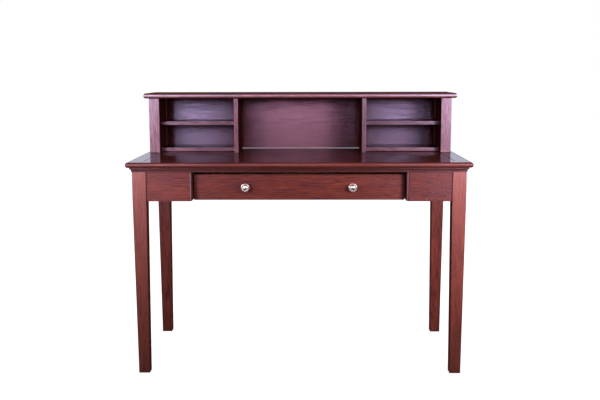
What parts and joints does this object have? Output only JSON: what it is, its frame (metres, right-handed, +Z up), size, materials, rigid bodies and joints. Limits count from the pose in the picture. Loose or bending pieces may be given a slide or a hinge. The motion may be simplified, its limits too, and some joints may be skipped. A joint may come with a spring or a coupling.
{
  "type": "writing desk with hutch and drawer",
  "caption": "Writing desk on tapered legs with a sliding drawer between fixed blocks, round metal knobs, and a low shelved hutch on the desktop.",
  "frame": {"origin": "on the floor, under the middle of the desktop", "axes": "+X to the sitter's right, +Y from the sitter to the wall, +Z up"},
  "size_m": [1.22, 0.61, 1.008],
  "materials": {
    "stained_wood": "open-grained hardwood, stained reddish mahogany, satin lacquer",
    "desktop_veneer": "veneered panel, grain along the desk, stained reddish mahogany, semi-gloss lacquer",
    "back_panel": "thin veneered panel, grain along the desk, stained reddish mahogany, satin lacquer",
    "inner_wood": "hardwood, stained like the outside, thinly sealed",
    "drawer_inside": "pale hardwood and plywood, clear matt lacquer",
    "dowel_wood": "plain turned beech",
    "knob_metal": "satin nickel plate, polished dome",
    "screw_steel": "zinc-plated steel"
  },
  "bodies": {
    "desk": {"back_screws": "screw_steel", "bottom_shelf_left": "stained_wood", "bottom_shelf_right": "stained_wood", "buildup_rear": "inner_wood", "corner_brace_front_left": "inner_wood", "corner_brace_front_right": "inner_wood", "corner_brace_rear_left": "inner_wood", "corner_brace_rear_right": "inner_wood", "desktop_border_front": "stained_wood", "desktop_border_left": "stained_wood", "desktop_border_rear": "stained_wood", "desktop_border_right": "stained_wood", "desktop_panel": "desktop_veneer", "desktop_screws": "screw_steel", "drawer_runner_left": "inner_wood", "drawer_runner_right": "inner_wood", "drawer_stop_blocks": "inner_wood", "front_block_left": "stained_wood", "front_block_right": "stained_wood", "hutch_back": "back_panel", "hutch_divider_left": "stained_wood", "hutch_divider_right": "stained_wood", "hutch_dowels": "dowel_wood", "hutch_post_front_left": "stained_wood", "hutch_post_front_right": "stained_wood", "hutch_post_rear_left": "stained_wood", "hutch_post_rear_right": "stained_wood", "hutch_side_left": "stained_wood", "hutch_side_right": "stained_wood", "hutch_top": "stained_wood", "hutch_top_dowels": "dowel_wood", "leg_front_left": "stained_wood", "leg_front_right": "stained_wood", "leg_rear_left": "stained_wood", "leg_rear_right": "stained_wood", "middle_shelf_left": "stained_wood", "middle_shelf_right": "stained_wood", "moulding_front": "stained_wood", "moulding_left": "stained_wood", "moulding_right": "stained_wood", "partition_left": "inner_wood", "partition_right": "inner_wood", "rear_apron": "stained_wood", "runner_screws": "screw_steel", "side_apron_left": "stained_wood", "side_apron_right": "stained_wood"},
    "drawer": {"drawer_front": "stained_wood", "drawer_side_left": "drawer_inside", "drawer_side_right": "drawer_inside", "drawer_back": "drawer_inside", "drawer_bottom": "drawer_inside", "drawer_stop_tabs": "inner_wood", "knob_left": "knob_metal", "knob_right": "knob_metal", "knob_screws": "screw_steel"}
  },
  "joints": [
    {"name": "drawer_slide", "type": "slide", "parent": "desk", "child": "drawer", "axis": [0, -1, 0], "range_m": [0, 0.32]}
  ]
}
